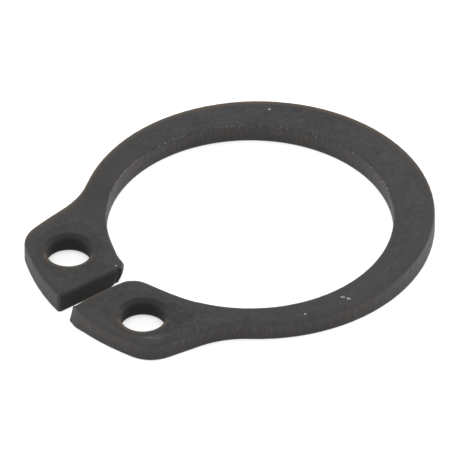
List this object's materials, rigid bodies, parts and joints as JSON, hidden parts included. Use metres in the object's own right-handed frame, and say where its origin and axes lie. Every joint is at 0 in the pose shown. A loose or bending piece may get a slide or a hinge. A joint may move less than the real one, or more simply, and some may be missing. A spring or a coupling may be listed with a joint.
{
  "type": "external retaining ring",
  "caption": "Flat open ring of dark spring steel that snaps into a shaft groove, widest opposite its gap, with a pierced lug at each end for circlip pliers.",
  "frame": {"origin": "on the shaft axis, at the ring's lower face, so the ring lies flat on z = 0", "axes": "+Z is the shaft axis, up out of the die-rolled face; -X points at the gap between the lugs, and +X at the widest part of the ring"},
  "size_m": [0.0199, 0.0168, 0.001],
  "materials": {
    "phosphated_spring_steel": "matte"
  },
  "bodies": {
    "root": {"retaining_ring": "phosphated_spring_steel"}
  },
  "joints": []
}
